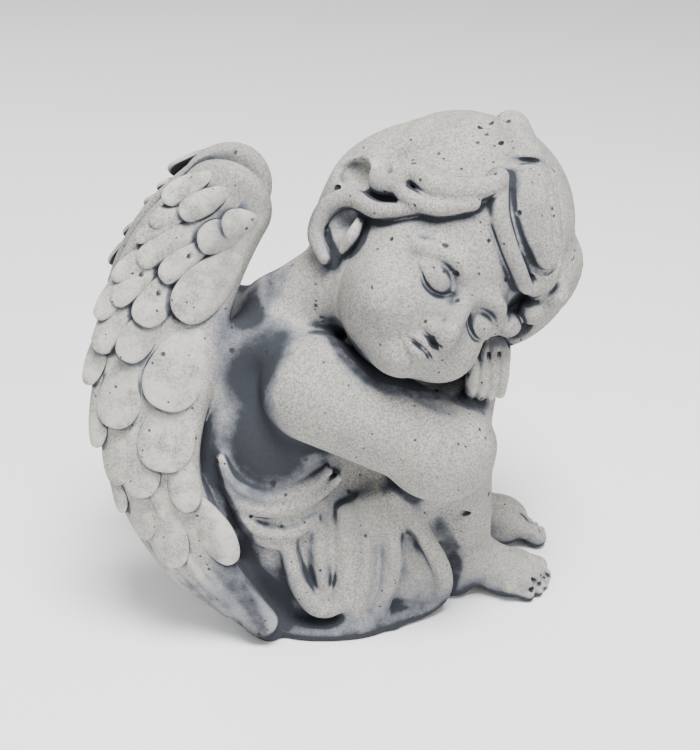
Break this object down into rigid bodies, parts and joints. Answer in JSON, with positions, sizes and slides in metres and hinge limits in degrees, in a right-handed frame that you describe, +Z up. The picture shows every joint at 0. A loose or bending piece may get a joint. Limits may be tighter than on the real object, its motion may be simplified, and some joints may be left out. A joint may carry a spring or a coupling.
{
  "type": "sleeping cherub garden statue",
  "caption": "Small cast concrete cherub asleep on folded arms, sitting with knees drawn up, with swept-back feathered wings and draped cloth.",
  "frame": {"origin": "on the flat underside, in the figure's middle plane, under the front of the hips", "axes": "+X the way the figure sits and its feet point, +Y to its left, +Z up"},
  "size_m": [0.2344, 0.1344, 0.2539],
  "materials": {
    "concrete": "weathered cast concrete, sandy and full of small air holes, with a dark patina left in the recesses"
  },
  "bodies": {
    "root": {"cherub_statue": "concrete"}
  },
  "joints": []
}
